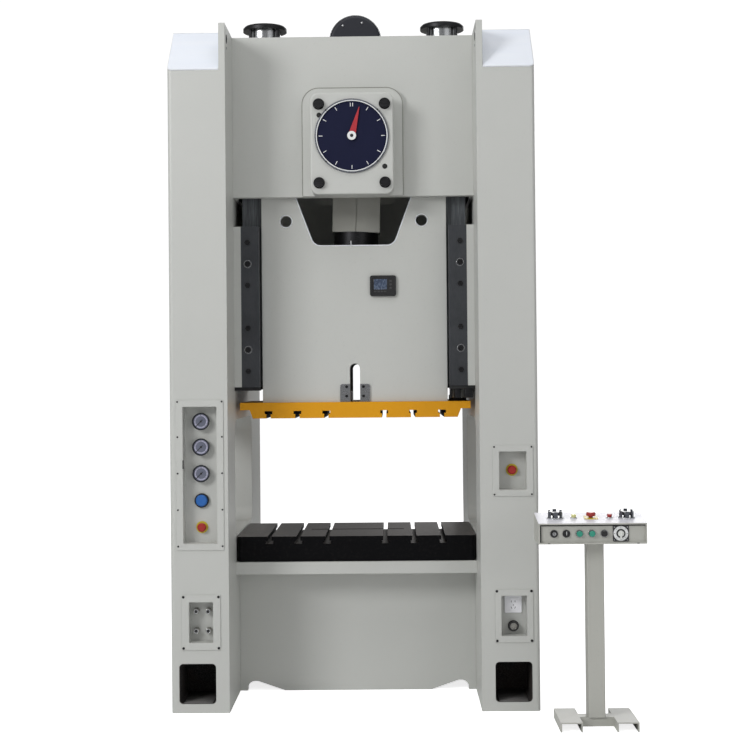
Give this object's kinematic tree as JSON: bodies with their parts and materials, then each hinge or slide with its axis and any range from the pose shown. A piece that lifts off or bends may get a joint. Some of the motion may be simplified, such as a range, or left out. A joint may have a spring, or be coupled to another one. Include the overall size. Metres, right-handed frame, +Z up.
{
  "type": "mechanical stamping press",
  "caption": "Straight-side crank press with closed uprights, crown, guided slide, yellow slide plate, slotted bolster and a loose two-hand control console.",
  "frame": {"origin": "on the floor at the middle of the four anchor bolt holes", "axes": "+X to the operator's right, +Y from the front of the press to its back, +Z up"},
  "size_m": [2.277, 2.2203, 3.725],
  "materials": {
    "frame_paint": "satin",
    "console_paint": "satin",
    "cover_sheet": "bright",
    "black_steel": "blackened",
    "gib_steel": "oiled",
    "bolster_steel": "machined, oiled",
    "plate_paint": "satin yellow",
    "bright_steel": "machined",
    "rod_iron": "machined",
    "wheel_iron": "machined",
    "gear_steel": "oiled",
    "bearing_bronze": "machined",
    "motor_paint": "gloss",
    "belt_rubber": "matt",
    "dial_navy": "satin",
    "signal_red": "gloss",
    "needle_red": "satin",
    "signal_yellow": "satin",
    "signal_blue": "gloss",
    "signal_green": "gloss",
    "black_plastic": "satin",
    "white_plastic": "satin",
    "grey_plastic": "satin",
    "gauge_case": "polished",
    "bezel_metal": "polished",
    "tube_steel": "honed",
    "fitting_metal": "plated"
  },
  "bodies": {
    "frame": {"left_upright": "frame_paint", "right_upright": "frame_paint", "crown": "frame_paint", "bed": "frame_paint", "upright_covers": "cover_sheet", "dial_housing": "frame_paint", "dial_bolts": "black_steel", "dial_face": "dial_navy", "bearings": "bearing_bronze", "bolster": "bolster_steel", "gib_brackets": "frame_paint", "gib_blocks": "gib_steel", "gib_bolts": "black_steel", "balance_cylinders": "tube_steel", "balance_caps": "black_steel", "main_motor": "motor_paint", "rear_guard": "frame_paint", "v_belts": "belt_rubber", "left_panel": "frame_paint", "pressure_gauges": "gauge_case", "right_panel": "frame_paint", "left_service_box": "frame_paint", "right_service_box": "frame_paint", "service_fittings": "fitting_metal", "wall_socket": "white_plastic", "stop_plates": "signal_yellow", "console_stand": "console_paint", "console_box": "console_paint", "palm_guards": "black_plastic", "switch_bezels": "bezel_metal"},
    "crank": {"crankshaft": "bright_steel", "main_gear": "gear_steel", "dial_needle": "needle_red"},
    "rod": {"connecting_rod": "rod_iron", "adjusting_screw": "black_steel"},
    "slide": {"slide": "frame_paint", "slide_plate": "plate_paint", "height_indicator": "black_plastic", "knockout_bracket": "bright_steel", "balance_rods": "bright_steel"},
    "drive": {"pinion_shaft": "gear_steel"},
    "flywheel": {"flywheel": "wheel_iron"},
    "rotor": {"motor_pulley": "wheel_iron"},
    "needle_1": {"gauge_needle_1": "black_plastic"},
    "needle_2": {"gauge_needle_2": "black_plastic"},
    "needle_3": {"gauge_needle_3": "black_plastic"},
    "blue_button": {"blue_button": "signal_blue"},
    "left_stop": {"left_stop_button": "signal_red"},
    "right_stop": {"right_stop_button": "signal_red"},
    "console_stop": {"console_stop_button": "signal_red"},
    "left_palm": {"left_palm_button": "black_plastic"},
    "right_palm": {"right_palm_button": "black_plastic"},
    "left_deck": {"left_deck_button": "white_plastic"},
    "right_deck": {"right_deck_button": "signal_red"},
    "green_1": {"green_button_1": "signal_green"},
    "green_2": {"green_button_2": "signal_green"},
    "black_button": {"black_button": "black_plastic"},
    "key": {"key_switch": "black_plastic"},
    "selector": {"mode_selector": "black_plastic"},
    "cam": {"cam_switch": "grey_plastic"}
  },
  "joints": [
    {"name": "crank_turn", "type": "hinge", "parent": "frame", "child": "crank", "pos_m": [0, -0.185, 2.872], "axis": [0, 1, 0], "range_deg": [-15, 165]},
    {"name": "slide_travel", "type": "slide", "parent": "frame", "child": "slide", "axis": [0, 0, -1], "range_m": [-0.0145, 0.158]},
    {"name": "rod_swing", "type": "hinge", "parent": "crank", "child": "rod", "pos_m": [0.02071, -0.185, 2.94927], "axis": [0, 1, 0], "range_deg": [-165.5, 15.5]},
    {"name": "pinion_turn", "type": "hinge", "parent": "frame", "child": "drive", "pos_m": [0.25, 0.47, 3.23408], "axis": [0, 1, 0], "range_deg": [-743, 68]},
    {"name": "flywheel_spin", "type": "hinge", "parent": "frame", "child": "flywheel", "pos_m": [0.25, 0.732, 3.23408], "axis": [0, 1, 0], "continuous": true},
    {"name": "motor_spin", "type": "hinge", "parent": "frame", "child": "rotor", "pos_m": [0, 0.732, 3.575], "axis": [0, 1, 0], "continuous": true},
    {"name": "gauge_1_turn", "type": "hinge", "parent": "frame", "child": "needle_1", "pos_m": [-0.761, -0.841, 1.438], "axis": [0, 1, 0], "range_deg": [0, 270], "stiffness_Nm_per_rad": 0.02},
    {"name": "gauge_2_turn", "type": "hinge", "parent": "frame", "child": "needle_2", "pos_m": [-0.761, -0.841, 1.311], "axis": [0, 1, 0], "range_deg": [0, 270], "stiffness_Nm_per_rad": 0.02},
    {"name": "gauge_3_turn", "type": "hinge", "parent": "frame", "child": "needle_3", "pos_m": [-0.761, -0.841, 1.179], "axis": [0, 1, 0], "range_deg": [0, 270], "stiffness_Nm_per_rad": 0.02},
    {"name": "blue_button_push", "type": "slide", "parent": "frame", "child": "blue_button", "axis": [0, 1, 0], "range_m": [0, 0.006], "stiffness_N_per_m": 400},
    {"name": "left_stop_push", "type": "slide", "parent": "frame", "child": "left_stop", "axis": [0, 1, 0], "range_m": [0, 0.005]},
    {"name": "right_stop_push", "type": "slide", "parent": "frame", "child": "right_stop", "axis": [0, 1, 0], "range_m": [0, 0.005]},
    {"name": "console_stop_push", "type": "slide", "parent": "frame", "child": "console_stop", "axis": [0, 0.144, -0.9896], "range_m": [0, 0.005]},
    {"name": "left_palm_push", "type": "slide", "parent": "frame", "child": "left_palm", "axis": [0, 0.144, -0.9896], "range_m": [0, 0.008], "stiffness_N_per_m": 600},
    {"name": "right_palm_push", "type": "slide", "parent": "frame", "child": "right_palm", "axis": [0, 0.144, -0.9896], "range_m": [0, 0.008], "stiffness_N_per_m": 600},
    {"name": "left_deck_push", "type": "slide", "parent": "frame", "child": "left_deck", "axis": [0, 0.144, -0.9896], "range_m": [0, 0.006], "stiffness_N_per_m": 300},
    {"name": "right_deck_push", "type": "slide", "parent": "frame", "child": "right_deck", "axis": [0, 0.144, -0.9896], "range_m": [0, 0.006], "stiffness_N_per_m": 300},
    {"name": "green_1_push", "type": "slide", "parent": "frame", "child": "green_1", "axis": [0, 1, 0], "range_m": [0, 0.004], "stiffness_N_per_m": 300},
    {"name": "green_2_push", "type": "slide", "parent": "frame", "child": "green_2", "axis": [0, 1, 0], "range_m": [0, 0.004], "stiffness_N_per_m": 300},
    {"name": "black_button_push", "type": "slide", "parent": "frame", "child": "black_button", "axis": [0, 1, 0], "range_m": [0, 0.004], "stiffness_N_per_m": 300},
    {"name": "key_turn", "type": "hinge", "parent": "frame", "child": "key", "pos_m": [0.937, -1.311, 0.917], "axis": [0, 1, 0], "range_deg": [0, 90]},
    {"name": "selector_turn", "type": "hinge", "parent": "frame", "child": "selector", "pos_m": [0.994, -1.311, 0.917], "axis": [0, 1, 0], "range_deg": [-45, 45]},
    {"name": "cam_turn", "type": "hinge", "parent": "frame", "child": "cam", "pos_m": [1.246, -1.311, 0.917], "axis": [0, 1, 0], "range_deg": [-90, 90]}
  ],
  "couplings": [
    {"joint": "slide_travel", "follows": "crank_turn", "m_per_rad": 0.054622},
    {"joint": "rod_swing", "follows": "crank_turn", "ratio": -1},
    {"joint": "pinion_turn", "follows": "crank_turn", "ratio": -4.5},
    {"joint": "motor_spin", "follows": "flywheel_spin", "ratio": 4.7857}
  ]
}
